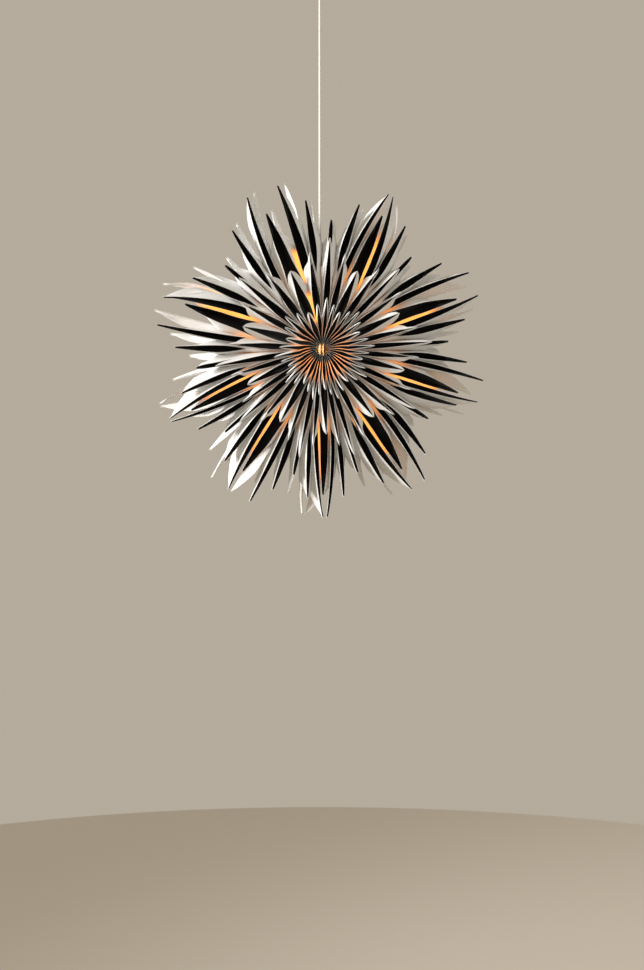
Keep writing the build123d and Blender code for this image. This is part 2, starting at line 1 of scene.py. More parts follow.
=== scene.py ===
import bmesh
import bpy
import numpy as np
from math import atan, cos, pi, radians, sin
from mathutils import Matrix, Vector


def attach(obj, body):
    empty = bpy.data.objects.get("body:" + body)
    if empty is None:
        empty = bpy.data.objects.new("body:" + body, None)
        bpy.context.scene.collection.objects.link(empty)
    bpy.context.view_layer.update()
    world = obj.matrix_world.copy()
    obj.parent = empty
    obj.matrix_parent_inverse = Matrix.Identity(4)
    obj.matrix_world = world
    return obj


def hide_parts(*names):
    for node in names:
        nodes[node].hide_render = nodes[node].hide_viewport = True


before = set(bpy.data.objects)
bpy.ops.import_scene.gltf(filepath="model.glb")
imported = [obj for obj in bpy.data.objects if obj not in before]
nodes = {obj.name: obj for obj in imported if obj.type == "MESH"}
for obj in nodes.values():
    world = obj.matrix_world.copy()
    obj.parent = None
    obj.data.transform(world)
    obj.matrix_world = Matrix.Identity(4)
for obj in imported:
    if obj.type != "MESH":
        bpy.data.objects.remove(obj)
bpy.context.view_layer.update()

# ------------------------------------------------------------------ camera
# The star is seen almost along its axis, from about its own height and a good four
# metres away, with its front pole turned a little to the right.
MM = 0.001
STAR_CENTRE = Vector((0.0, 0.0, -820.0)) * MM
IMAGE = (644, 970)
MM_PER_PIXEL = 2.083           # at the star
STAR_PIXEL = (319.9, 349.0)    # where the middle of the star lies in the picture
VIEW_TURN = 10.5               # degrees between the star's axis and the line of sight
VIEW_DISTANCE = 4.40
VIEW_HEIGHT = 0.06             # of the camera above the star's centre

camera_data = bpy.data.cameras.new("camera")
camera = bpy.data.objects.new("camera", camera_data)
bpy.context.scene.collection.objects.link(camera)
bpy.context.scene.camera = camera
camera_data.sensor_fit = "VERTICAL"
camera_data.sensor_height = 36.0
half_height = IMAGE[1] / 2 * MM_PER_PIXEL * MM
camera_data.lens = camera_data.sensor_height / 2 / (half_height / VIEW_DISTANCE)
turn = radians(VIEW_TURN)
camera.location = STAR_CENTRE + Vector((-sin(turn) * VIEW_DISTANCE,
                                        -cos(turn) * VIEW_DISTANCE, VIEW_HEIGHT))
below = (IMAGE[1] / 2 - STAR_PIXEL[1]) * MM_PER_PIXEL * MM
beside = (IMAGE[0] / 2 - STAR_PIXEL[0]) * MM_PER_PIXEL * MM
pitch = -atan(below / VIEW_DISTANCE) - atan(VIEW_HEIGHT / VIEW_DISTANCE)
camera.rotation_euler = (pi / 2 + pitch, 0.0, -turn - atan(beside / VIEW_DISTANCE))

# ------------------------------------------------------------------ cord
# A round two-core lighting cord with a white sheath. It hangs dead straight from the
# clamp under the ceiling into the lampholder, and carries the whole star.
CORD_TOP = -10.0
CORD_FOOT = -752.0
CORD_WIDTH = 5.0


def new_material(name, base, roughness, **sockets):
    """A Principled material with its constants on the shader's own sockets."""
    material = bpy.data.materials.new(name)
    material.use_nodes = True
    shader = material.node_tree.nodes["Principled BSDF"]
    shader.inputs["Base Color"].default_value = (*base, 1.0)
    shader.inputs["Roughness"].default_value = roughness
    for socket, value in sockets.items():
        shader.inputs[socket.replace("_", " ")].default_value = value
    return material, material.node_tree, shader


def add_grain(name):
    """A node group that breaks up a plain finish: a colour, a roughness and a normal."""
    group = bpy.data.node_groups.new(name, "ShaderNodeTree")
    face = group.interface
    for label, kind, value in (("Colour", "NodeSocketColor", (0.8, 0.8, 0.8, 1.0)),
                               ("Tint", "NodeSocketColor", (0.7, 0.7, 0.7, 1.0)),
                               ("Patch size", "NodeSocketFloat", 40.0),
                               ("Grain size", "NodeSocketFloat", 900.0),
                               ("Roughness", "NodeSocketFloat", 0.5),
                               ("Spread", "NodeSocketFloat", 0.1),
                               ("Relief", "NodeSocketFloat", 0.1),
                               ("Depth", "NodeSocketFloat", 0.0004)):
        face.new_socket(label, in_out="INPUT", socket_type=kind).default_value = value
    face.new_socket("Colour", in_out="OUTPUT", socket_type="NodeSocketColor")
    face.new_socket("Roughness", in_out="OUTPUT", socket_type="NodeSocketFloat")
    face.new_socket("Normal", in_out="OUTPUT", socket_type="NodeSocketVector")
    add = group.nodes.new
    link = group.links.new
    source, sink = add("NodeGroupInput"), add("NodeGroupOutput")
    place = add("ShaderNodeTexCoord")
    patches, grain = add("ShaderNodeTexNoise"), add("ShaderNodeTexNoise")
    grain.inputs["Detail"].default_value = 6.0
    for texture, size in ((patches, "Patch size"), (grain, "Grain size")):
        link(place.outputs["Object"], texture.inputs["Vector"])
        link(source.outputs[size], texture.inputs["Scale"])
    blend = add("ShaderNodeMix")
    blend.data_type = "RGBA"
    link(patches.outputs["Fac"], blend.inputs["Factor"])
    link(source.outputs["Colour"], blend.inputs["A"])
    link(source.outputs["Tint"], blend.inputs["B"])
    link(blend.outputs["Result"], sink.inputs["Colour"])
    rough = add("ShaderNodeMath")
    rough.operation = "MULTIPLY_ADD"
    link(grain.outputs["Fac"], rough.inputs[0])
    link(source.outputs["Spread"], rough.inputs[1])
    link(source.outputs["Roughness"], rough.inputs[2])
    link(rough.outputs["Value"], sink.inputs["Roughness"])
    bump = add("ShaderNodeBump")
    link(source.outputs["Relief"], bump.inputs["Strength"])
    link(source.outputs["Depth"], bump.inputs["Distance"])
    link(grain.outputs["Fac"], bump.inputs["Height"])
    link(bump.outputs["Normal"], sink.inputs["Normal"])
    return group


GRAIN = add_grain("fine grain")


def grained(name, colour, tint, roughness, patch=40.0, grain=900.0, spread=0.12,
            relief=0.12, depth=0.0003, **sockets):
    """A material whose colour, roughness and normal pass through the grain group."""
    material, tree, shader = new_material(name, colour, roughness, **sockets)
    group = tree.nodes.new("ShaderNodeGroup")
    group.node_tree = GRAIN
    values = {"Colour": (*colour, 1.0), "Tint": (*tint, 1.0), "Patch size": patch,
              "Grain size": grain, "Roughness": roughness - spread / 2, "Spread": spread,
              "Relief": relief, "Depth": depth}
    for label, value in values.items():
        group.inputs[label].default_value = value
    tree.links.new(group.outputs["Colour"], shader.inputs["Base Color"])
    tree.links.new(group.outputs["Roughness"], shader.inputs["Roughness"])
    tree.links.new(group.outputs["Normal"], shader.inputs["Normal"])
    return material


def new_piece(name, mesh, body, slot, *replaced):
    """Put a finished mesh or curve in the scene on its body, and hide the parts it replaces.
    """
    piece = bpy.data.objects.new(name, mesh)
    bpy.context.scene.collection.objects.link(piece)
    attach(piece, body)
    if replaced:
        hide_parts(*replaced)
    return piece


sheath = grained("cord sheath", (0.80, 0.79, 0.75), (0.74, 0.73, 0.69), 0.42, patch=300.0)
cord_line = bpy.data.curves.new("cord", "CURVE")
cord_line.dimensions = "3D"
cord_line.bevel_depth = CORD_WIDTH / 2 * MM
cord_line.bevel_resolution = 6
cord_line.use_fill_caps = True
run = cord_line.splines.new("NURBS")
run.points.add(2)
for point, height in zip(run.points, (CORD_FOOT, (CORD_TOP + CORD_FOOT) / 2, CORD_TOP)):
    point.co = (0.0, 0.0, height * MM, 1.0)
run.use_endpoint_u = True
run.order_u = 3
cord_line.materials.append(sheath)
cord = new_piece("hanging_cord", cord_line, "lamp", "cord_sheath", "cord")

# ------------------------------------------------------------------ folded leaves
# Each of the star's two crowns is fifty-four leaves of card, black inside and white
# outside. A leaf is a sharp V that opens away from the star's middle plane, with points
# cut along its rim in up to three rings. Leaves are glued wall to wall, six to a group.
# Radii count from the star's axis and depths from its middle plane, in millimetres.
# Polar angles run anticlockwise, seen from the front, in degrees.
FULL_TURN = 360
CARD = 0.5                    # thickness of the card
FOLD = 1.0                    # depth of card in a fold
GLUE = 0.3                    # gap left for the glue between two leaves
TWIST = 5.0                   # how far the back crown lags behind the front one
POLE_HOLE = 11.0
INNER_DEPTH = 33.0            # half depth of the lamp space at the pole
SEAM_INNER = 200.0            # where the two crowns meet, inner and outer radius
SEAM_OUTER = 232.0
EVEN_UNTIL = 50.0             # inside this radius the leaves crowd evenly round the pole
LEAN_FROM = 150.0             # outside this radius the spikes lean to their tips
LEAN_DEPTH = 38.0             # the lean grows from the middle plane to this depth
RIM_DEPTH = 36.0              # of the rim at the pole, then at the rings of points and slits
POINT_DEPTH = (50.0, 47.0, 40.0)
SLIT_DEPTH = (43.0, 41.0, 38.0)
SLIT_SHARE = (0.5, 0.35)      # where the inner slits lie between a notch and its point
NOTCH_DEPTH = 33.0            # of the notches between two rings
# Radius and depth at which the leaves touch; along a spike, the share of its length and
# the depth at which its side is widest.
BELLY = ((50.0, 32.0), (118.0, 25.0), (215.0, 17.0))
SPIKE_SIDE = (0.35, 25.0)
SPIKE_FOLD_DEPTH = 12.0       # of the fold half way out along a spike
SPIKE_END = 4.0               # length of a spike's blunt end
POINT_GAP = {"inner": 0.3, "outer": 3.0}      # open width left at a point
TIP_DEPTH = 20.0              # the outer gap opens only above this depth
SAME_SPOT = 4                 # corners that agree to so many decimals are one
FACET_STEPS = 6               # each flat facet of a wall is divided this many times
EDGE_BORDER = 0.4             # width of the white that shows inside along a cut edge
# Each kind of leaf: radius of its three points, half width of its three slits, radius
# of its outer slit and of its two notches, half width of its spike's side, and its
# share of the room between leaves along its spike and along its inner points.
KINDS = {
    "short": {"points": (106, 229, 269), "slits": (3.7, 6.2, 3.6), "slit_at": 245,
              "notches": (68, 160), "side": 7.0, "share": 3.3, "petal_share": 3.3},
    "middling": {"points": (64, 135, 310), "slits": (0.1, 0.1, 5.8), "slit_at": 222,
                 "notches": (80, 159), "side": 9.0, "share": 3.2, "petal_share": 0.3},
    "long": {"points": (94, 201, 350), "slits": (3.7, 6.2, 5.2), "slit_at": 212,
             "notches": (62, 145), "side": 8.0, "share": 2.0, "petal_share": 3.7},
    "centre": {"points": (83, 175, 304), "slits": (4.2, 8.4, 8.6), "slit_at": 222,
               "notches": (58, 138), "side": 12.0, "share": 5.9, "petal_share": 5.9},
    "open long": {"points": (94, 201, 350), "slits": (3.7, 6.2, 7.8), "slit_at": 212,
                  "notches": (62, 145), "side": 9.5, "share": 2.4, "petal_share": 3.7},
}
USUAL_GROUP = 40.0             # angle taken by a group whose slits have these widths
# Where the six leaves of a group stand: in even steps round the pole, then their two
# inner points and then their spikes, in shares of the group.
GROUP = [("short", 0.0, 0.0, 0.0), ("middling", 0.125, 0.12, 0.1625),
         ("long", 0.25, 0.24, 0.2875), ("centre", 0.5, 0.5, 0.5),
         ("open long", 0.75, 0.78, 0.7125), ("middling", 0.875, 0.89, 0.8375)]
# A middling leaf has no inner points. Its rim stays low, at these radii and depths.
LOW_RIM = {"slit_1": (40.0, 35.5), "point_1": (64.0, 34.5), "notch_1": (80.0, 33.0),
           "slit_2": (110.0, 31.0), "point_2": (135.0, 30.5), "notch_2": (159.0, 29.0)}
SPIKE_FROM = (110.0, 160.0)     # the leaf goes over from its inner points to its spike
PETAL_DEPTH = (38.5, 42.5)      # above this depth it is a point of the second ring
PETAL_REACH = (201.0, 206.0)    # and no further out than this
# How far the slits of each group's leaves stand open, then those of all spikes.
OPENNESS = (1.15, 1.0, 0.95, 1.0, 0.95, 1.0, 1.0, 1.1, 1.35)
OUTER_OPENNESS = 1.3
MOST_ROOM = 0.92              # share of its room that a slit or notch takes at most
LEAST_WIDTH = {"white": 0.05, "black": 0.02}  # half width of a wall's two skins at least
# The hand folded star is uneven: the polar angle of each spike's tip, group by group.
TIPS = [
    (86.4, 75.7, 66.6, 65.8, 65.3, 55.9),
    (45.7, 35.3, 27.1, 20.0, 18.8, 11.6),
    (3.4, -5.3, -11.1, -17.8, -18.6, -22.4),
    (-33.1, -45.3, -51.8, -56.4, -57.1, -65.3),
    (-74.0, -82.0, -88.7, -90.2, -90.0, -96.1),
    (-103.5, -110.2, -116.2, -124.1, -124.6, -132.0),
    (-140.5, -148.0, -155.2, -155.8, -156.0, -163.1),
    (-171.9, -180.9, -188.4, -197.9, -197.6, -208.2),
    (-220.0, -232.1, -243.1, -246.8, -254.0, -263.0),
]
CLOSING_GROUP = 8
# The named corners of a wall along its fold, its rim and the line where leaves touch.
KEEL = ["pole_fold", "seam_in", "seam_out", "spike_fold", "spike_end"]
RIM = ["pole_fold", "pole_rim", "slit_1", "point_1", "notch_1", "slit_2", "point_2",
       "notch_2", "slit_3", "point_3", "spike_end"]
BELLY_LINE = ["pole_fold", "belly_1", "belly_2", "belly_3", "spike_side"]
# How the half width changes along each run of the rim: quick out of the pole, a pointed
# arch to each point, and a rounded underside back to the notch.
RISE = {"pole_rim": 0.35, "notch_1": 0.9, "notch_2": 0.9}
FALL = {"slit_1": 1.2, "slit_2": 1.15, "slit_3": 1.3}
UNDERSIDE = 0.5
# One wall of a leaf is twenty facets between the named corners.
FACETS = [
    ("pole_fold", "belly_1", "pole_rim"), ("pole_rim", "belly_1", "slit_1"),
    ("belly_1", "notch_1", "slit_1"), ("slit_1", "notch_1", "point_1"),
    ("belly_1", "belly_2", "notch_1"), ("notch_1", "belly_2", "slit_2"),
    ("slit_2", "belly_2", "notch_2"), ("slit_2", "notch_2", "point_2"),
    ("belly_2", "belly_3", "notch_2"), ("notch_2", "belly_3", "slit_3"),
    ("belly_3", "spike_side", "slit_3"), ("slit_3", "spike_side", "point_3"),
    ("spike_side", "spike_end", "point_3"), ("spike_side", "spike_fold", "spike_end"),
    ("belly_3", "spike_fold", "spike_side"), ("belly_3", "seam_out", "spike_fold"),
    ("seam_in", "seam_out", "belly_3"), ("belly_2", "seam_in", "belly_3"),
    ("pole_fold", "seam_in", "belly_2"), ("pole_fold", "belly_2", "belly_1"),
]


def mix(a, b, share):
    """From a to b as the share goes from 0 to 1, and no further."""
    return a + (b - a) * min(max(share, 0.0), 1.0)


def list_leaves():
    """Every leaf in order round the star: kind, foot angle, tip angle, group width."""
    leaves = []
    for number, tips in enumerate(TIPS):
        following = TIPS[number + 1][0] if number + 1 < len(TIPS) else TIPS[0][0] - FULL_TURN
        width = tips[0] - following
        for (kind, even, inner, outer), tip in zip(GROUP, tips):
            leaves.append({"kind": kind, "tip": tip, "width": width,
                           "foot": tips[0] - inner * width,
                           "spike": tips[0] - outer * width,
                           "step": (number + even) * FULL_TURN / len(TIPS)})
    start = sum(leaf["foot"] + leaf["step"] for leaf in leaves) / len(leaves)
    for leaf in leaves:
        leaf["even"] = start - leaf["step"]
    return leaves


LEAVES = list_leaves()


def on_spike(radius, depth):
    """0 on the leaf's two inner points, 1 on its spike."""
    petal = mix(0, 1, (abs(depth) - PETAL_DEPTH[0]) / (PETAL_DEPTH[1] - PETAL_DEPTH[0]))
    petal *= mix(1, 0, (radius - PETAL_REACH[0]) / (PETAL_REACH[1] - PETAL_REACH[0]))
    return mix(0, 1, (radius - SPIKE_FROM[0]) / (SPIKE_FROM[1] - SPIKE_FROM[0])) * (1 - petal)


def polar_angle(leaf, radius, depth):
    """The leaf's middle: even at the pole; outside, its rim leans and its fold doesn't."""
    foot = mix(leaf["foot"], leaf["spike"], on_spike(radius, depth))
    inside = mix(leaf["even"], foot, (radius - POLE_HOLE) / (EVEN_UNTIL - POLE_HOLE))
    reach = KINDS[leaf["kind"]]["points"][2] - LEAN_FROM
    lean = mix(0, 1, (radius - LEAN_FROM) / reach) * mix(0, 1, abs(depth) / LEAN_DEPTH)
    angle = mix(inside, leaf["tip"], lean * on_spike(radius, depth))
    return angle - TWIST / 2 * (1 - depth / POINT_DEPTH[2])


def star_point(leaf, front, radius, depth, sideways):
    """Radius, depth and sideways place on a leaf, in millimetres, as a scene point."""
    axial = depth if front else -depth
    angle = radians(polar_angle(leaf, radius, axial))
    x = radius * cos(angle) - sideways * sin(angle)
    z = radius * sin(angle) + sideways * cos(angle)
    return STAR_CENTRE + Vector((x, -axial, z)) * MM


def room(index, side, radius, depth):
    """The leaf's share of the way to its neighbour on one side (+1 or -1)."""
    leaf = LEAVES[index]
    other = LEAVES[(index - side) % len(LEAVES)]
    gap = polar_angle(other, radius, depth) - polar_angle(leaf, radius, depth)
    gap = gap * side % FULL_TURN
    mine, theirs = (mix(KINDS[each["kind"]]["petal_share"], KINDS[each["kind"]]["share"],
                        on_spike(radius, depth)) for each in (leaf, other))
    return radius * radians(gap) * mine / (mine + theirs) - GLUE / 2


def outline_corners(kind_name):
    """Corner name -> (radius, depth) of a wall laid flat."""
    kind = KINDS[kind_name]
    corners = {
        "pole_fold": (POLE_HOLE, INNER_DEPTH),
        "seam_in": (SEAM_INNER, GLUE / 2),
        "seam_out": (SEAM_OUTER, GLUE / 2),
        "spike_fold": (mix(SEAM_OUTER, kind["points"][2], 0.5), SPIKE_FOLD_DEPTH),
        "spike_end": (kind["points"][2] - SPIKE_END, POINT_DEPTH[2] - SPIKE_END / 2),
        "pole_rim": (POLE_HOLE, RIM_DEPTH),
    }
    low = POLE_HOLE
    for ring in range(3):
        point = kind["points"][ring]
        slit_at = kind["slit_at"] if ring == 2 else mix(low, point, SLIT_SHARE[ring])
        corners[f"slit_{ring + 1}"] = (slit_at, SLIT_DEPTH[ring])
        corners[f"point_{ring + 1}"] = (point, POINT_DEPTH[ring])
        corners[f"belly_{ring + 1}"] = BELLY[ring]
        if ring < 2:
            low = kind["notches"][ring]
            corners[f"notch_{ring + 1}"] = (low, NOTCH_DEPTH)
    if kind_name == "middling":
        corners.update(LOW_RIM)
    along, depth = SPIKE_SIDE
    corners["spike_side"] = (mix(BELLY[2][0], kind["points"][2], along), depth)
    return corners


def flat_wall(kind_name):
    """One wall laid flat and finely divided: points, triangles and who lies on an edge."""
    corners = outline_corners(kind_name)
    places, triangles, found = [], [], {}

    def number_of(r, z):
        key = (round(r, SAME_SPOT), round(z, SAME_SPOT))
        if key not in found:
            found[key] = len(places)
            places.append((r, z))
        return found[key]

    n = FACET_STEPS
    for facet in FACETS:
        a, b, c = (np.array(corners[name]) for name in facet)
        grid = {}
        for i in range(n + 1):
            for j in range(n + 1 - i):
                grid[i, j] = number_of(*(a + (b - a) * i / n + (c - a) * j / n))
        for i in range(n):
            for j in range(n - i):
                triangles.append((grid[i, j], grid[i + 1, j], grid[i, j + 1]))
                if i + j < n - 1:
                    triangles.append((grid[i + 1, j], grid[i + 1, j + 1], grid[i, j + 1]))
    paths = {}
    for label, names in (("keel", KEEL), ("rim", RIM), ("belly", BELLY_LINE)):
        path = []
        for first, last in zip(names, names[1:]):
            a, b = np.array(corners[first]), np.array(corners[last])
            steps = [number_of(*(a + (b - a) * i / n)) for i in range(n + 1)]
            path.append((first, last, steps))
        paths[label] = path
    return np.array(places), np.array(triangles), paths


# The half widths that shape a wall, and how its card bends between them: mostly like a
# thin plate, a little like a film. A sliver of a triangle pulls no harder than STEEPEST.
WIDTHS = ("slit_1", "slit_2", "slit_3", "belly_1", "belly_2", "belly_3", "spike_side",
          "notch_1", "notch_2", "gap")
FILM_SHARE = 0.02
STEEPEST = 5.0
SMALLEST_AREA = 1e-6


def wall_patterns(kind_name):
    """How each width of a wall spreads over it, smooth between its fixed places."""
    places, triangles, paths = flat_wall(kind_name)
    count = len(places)
    weights = np.zeros((count, count))
    for tri in triangles:
        for k in range(3):
            a, b, c = tri[k], tri[(k + 1) % 3], tri[(k + 2) % 3]
            u, v = places[a] - places[c], places[b] - places[c]
            cross = abs(u[0] * v[1] - u[1] * v[0])
            slope = float(u @ v) / max(cross, SMALLEST_AREA)
            share = np.clip(slope, -STEEPEST, STEEPEST) / 2
            weights[a, b] += share
            weights[b, a] += share
    laplace = np.diag(weights.sum(1)) - weights
    stiff = laplace @ laplace + FILM_SHARE * laplace
    row_of = dict(zip(WIDTHS, np.eye(len(WIDTHS))))
    row_of["pole_fold"] = np.zeros(len(WIDTHS))
    for name in ("pole_rim", "point_1", "point_2", "point_3", "spike_end"):
        row_of[name] = row_of["gap"]
    fixed = {}
    for first, last, steps in paths["belly"]:
        for place, vertex in enumerate(steps):
            share = place / (len(steps) - 1)
            fixed[vertex] = row_of[first] * (1 - share) + row_of[last] * share
    for first, last, steps in paths["rim"]:
        for place, vertex in enumerate(steps):
            share = place / (len(steps) - 1)
            if first in RISE:
                share = sin(pi / 2 * share ** RISE[first])
            elif first in FALL:
                share = share ** FALL[first]
            elif first.startswith("point"):
                share = share ** UNDERSIDE
            fixed[vertex] = row_of[first] * (1 - share) + row_of[last] * share
    for first, last, steps in paths["keel"]:
        for vertex in steps:
            fixed[vertex] = np.zeros(len(WIDTHS))
    held = np.array(sorted(fixed))
    free = np.array([i for i in range(count) if i not in fixed])
    values = np.zeros((count, len(WIDTHS)))
    values[held] = [fixed[i] for i in held]
    values[free] = np.linalg.solve(stiff[np.ix_(free, free)],
                                   -stiff[np.ix_(free, held)] @ values[held])
    rim_points = places[[v for _, _, steps in paths["rim"][1:-1] for v in steps]]
    to_rim = np.array([np.hypot(*(rim_points - p).T).min() for p in places])
    return {"places": places, "triangles": triangles, "paths": paths, "values": values,
            "to_rim": to_rim}


PATTERNS = {name: wall_patterns(name) for name in KINDS}


SQUEEZED_CARD = 0.15          # share of the card's thickness that shows at the pole
CARD_GROWTH = 60.0            # over this length it grows to its full thickness


def card_at(radius):
    """Thickness shown by the card: near the pole the leaves are squeezed together."""
    return CARD * mix(SQUEEZED_CARD, 1.0, (radius - POLE_HOLE) / CARD_GROWTH)


def valley_depth(kind_name, radius):
    """Depth at which a wall touches its neighbour, at the bottom of the white valley."""
    corners = outline_corners(kind_name)
    line = [corners[name] for name in BELLY_LINE]
    return float(np.interp(radius, [spot[0] for spot in line], [spot[1] for spot in line]))


# The bulb's light in the white valleys, painted on the card as a glow: strong round the
# poles, and far out where the centre leaf leans on the open long one. Radii of its start,
# its full strength, its fading and its end; then its strength.
POLE_GLOW = (24.0, 29.0, 42.0, 80.0, 1.2)
VALLEY_GLOW = {
    ("centre", "open long"): (80.0, 175.0, 236.0, 285.0, 1.15),
    ("centre", "long"): (90.0, 145.0, 165.0, 215.0, 0.55),
}
FAINT_GLOW = (70.0, 110.0, 130.0, 190.0, 0.2)
SEAM_GLOW = ((52.0, 66.0, 108.0, 124.0, 1.3), (138.0, 150.0, 200.0, 216.0, 1.3))
SEAM_HEIGHT = 13.0            # it reaches this far up the walls of the last valley
GLOW_HEIGHT = (15.0, 60.0)    # how far it climbs the walls of a point, and of a spike
POLE_LEVEL = 0.75             # the pole's glow at the height of the bulb
POLE_FALL = 0.35              # how much weaker it is at the top, and stronger at the foot
POLE_RIM = 0.35               # share of the pole's glow that is left on the rims
CLOSING_SHARE = 0.3           # share of the glow in the other valleys of the last group
BLACK_POLE_RADIUS = 29.0               # inside this radius the white faces and cut edges are painted black too
BORDER_GROWTH = 50.0          # from there the white border grows over this length
LEAST_BORDER = 0.02


def swell(radius, start, full, fading, end, strength):
    """A glow that swells between two radii, holds, and fades between two more."""
    return strength * float(np.interp(radius, (start, full, fading, end), (0, 1, 1, 0)))


def painted_glow(kind_name, other, radius, depth, height, last):
    """How much of the bulb's light is painted as a glow on the white side of a wall; 1 is
    full.
    """
    climb = max(0.0, depth - valley_depth(kind_name, radius))
    above = climb / mix(*GLOW_HEIGHT, 2 * on_spike(radius, depth) - 1)
    pole = swell(radius, *POLE_GLOW) * (POLE_LEVEL - POLE_FALL * height)
    pole *= mix(1.0, POLE_RIM, above)
    cell = tuple(sorted((kind_name, other)))
    if last and cell == ("centre", "open long"):
        seam = max(swell(radius, *glow) for glow in SEAM_GLOW)
        return max(pole, seam * (1.0 if climb < SEAM_HEIGHT else 0.0))
    valley = swell(radius, *VALLEY_GLOW.get(cell, FAINT_GLOW)) * mix(1.0, 0.0, above)
    return max(pole, valley * (CLOSING_SHARE if last else 1.0))


def leaf_mesh(index, front, store):
    """Add one leaf to the lists of corners, faces, materials and marks in store."""
    leaf = LEAVES[index]
    pattern = PATTERNS[leaf["kind"]]
    kind = KINDS[leaf["kind"]]
    spread = min(1.0, leaf["width"] / USUAL_GROUP)
    corners = outline_corners(leaf["kind"])
    wanted = {}
    for ring in range(3):
        factor = OPENNESS[index // len(GROUP)] if ring < 2 else spread * OUTER_OPENNESS
        wanted[f"slit_{ring + 1}"] = kind["slits"][ring] * factor
    if leaf["kind"] == "middling":
        wanted["notch_1"] = wanted["notch_2"] = kind["slits"][0]
    wanted["spike_side"] = kind["side"] * spread
    last = index // len(GROUP) == CLOSING_GROUP
    places = pattern["places"]
    keel_numbers = {v for _, _, steps in pattern["paths"]["keel"] for v in steps}
    rim_numbers = []
    for _, _, steps in pattern["paths"]["rim"]:
        rim_numbers += steps if not rim_numbers else steps[1:]
    skins = {}
    for side in (1, -1):
        other = LEAVES[(index - side) % len(LEAVES)]["kind"]
        amounts = []
        for name in WIDTHS[:-1]:
            most = room(index, side, *corners[name])
            if name.startswith(("slit", "notch")):
                most *= MOST_ROOM
            amounts.append(min(wanted.get(name, most), most))
        amounts.append(POINT_GAP["inner"] / 2 + CARD)
        widths = pattern["values"] @ np.array(amounts)
        spike_length = kind["points"][2] - kind["slit_at"]
        tip = np.clip((places[:, 0] - kind["slit_at"]) / spike_length, 0, 1)
        opening = (POINT_GAP["outer"] - POINT_GAP["inner"]) / 2
        widths += tip * opening * (places[:, 1] > TIP_DEPTH)
        height = sin(radians(leaf["foot"]))
        # The bulb's light is painted on the white skin only, as a glow mark at each corner.
        bulb_glow = [painted_glow(leaf["kind"], other, *spot, height, last) for spot in places]
        for skin in ("white", "black"):
            base = len(store["corners"])
            for number, (radius, depth) in enumerate(places):
                width = widths[number]
                if number in keel_numbers:
                    width = 0.0
                    depth += FOLD if skin == "black" else 0.0
                else:
                    width = min(width, room(index, side, radius, depth))
                    width = max(width, LEAST_WIDTH["white"])
                    if skin == "black":
                        width = max(width - card_at(radius), LEAST_WIDTH["black"])
                store["corners"].append(star_point(leaf, front, radius, depth, side * width))
                store["painted_glow"].append(bulb_glow[number] if skin == "white" else 0.0)
                growth = (radius - BLACK_POLE_RADIUS) / BORDER_GROWTH
                border = EDGE_BORDER * mix(LEAST_BORDER, 1.0, growth)
                store["rim"].append(pattern["to_rim"][number] / border)
            skins[side, skin] = base
    for (side, skin), base in skins.items():
        flip = ((side > 0) == (skin == "white")) == front
        for a, b, c in pattern["triangles"]:
            face = (base + a, base + b, base + c)
            store["faces"].append(face[::-1] if flip else face)
            # Near the pole the white skin and the cut edges are painted black too.
            dark = skin == "black" or max(places[v][0] for v in (a, b, c)) < BLACK_POLE_RADIUS
            store["material"].append(1 if dark else 0)
    for side in (1, -1):
        white, black = skins[side, "white"], skins[side, "black"]
        for a, b in zip(rim_numbers, rim_numbers[1:]):
            face = (white + a, white + b, black + b, black + a)
            store["faces"].append(face[::-1] if (side > 0) == front else face)
            dark = max(places[a][0], places[b][0]) < BLACK_POLE_RADIUS
            store["material"].append(1 if dark else 0)


def card_material(name, colour, tint, roughness):
    """Matt uncoated card: slow blotches, a fine fibre, and a dulled sheen."""
    material = grained(name, colour, tint, roughness, patch=9.0, grain=700.0, spread=0.1,
                       relief=0.25, depth=0.0002)
    return material, material.node_tree, material.node_tree.nodes["Principled BSDF"]


white_card, tree, shader = card_material("white card", (0.78, 0.78, 0.77),
                                         (0.73, 0.73, 0.72), 0.72)
# The bulb's light is painted on the white card: by the painted glow mark it glows from a
# dull brown to the yellow of bare lit card.
GLOW_STRENGTH = 0.8
BRIGHTEST_GLOW = (1.0, 0.62, 0.16)
GLOW_COLOURS = ((0.25, (0.05, 0.018, 0.006)), (0.6, (0.52, 0.19, 0.025)),
                (0.85, (0.95, 0.42, 0.06)))
LIT_CARD = (0.70, 0.32, 0.07)
glow_mark = tree.nodes.new("ShaderNodeAttribute")
glow_mark.attribute_name = "painted_glow"
glow_ramp = tree.nodes.new("ShaderNodeValToRGB")
ramp = glow_ramp.color_ramp
ramp.elements[0].color = (0.0, 0.0, 0.0, 1.0)
ramp.elements[1].position = 1.0
ramp.elements[1].color = (*BRIGHTEST_GLOW, 1.0)
for place, colour in GLOW_COLOURS:
    ramp.elements.new(place).color = (*colour, 1.0)
tree.links.new(glow_mark.outputs["Fac"], glow_ramp.inputs["Fac"])
tree.links.new(glow_ramp.outputs["Color"], shader.inputs["Emission Color"])
shader.inputs["Emission Strength"].default_value = GLOW_STRENGTH
# Where the painted glow is strong, the base colour is also painted towards lit orange card.
lit_card = tree.nodes.new("ShaderNodeMix")
lit_card.data_type = "RGBA"
lit_card.inputs["B"].default_value = (*LIT_CARD, 1.0)
grain_group = next(n for n in tree.nodes if n.type == "GROUP")
tree.links.new(glow_mark.outputs["Fac"], lit_card.inputs["Factor"])
tree.links.new(grain_group.outputs["Colour"], lit_card.inputs["A"])
tree.links.new(lit_card.outputs["Result"], shader.inputs["Base Color"])

black_card, tree, shader = card_material("black card", (0.010, 0.009, 0.009),
                                         (0.016, 0.014, 0.013), 0.6)
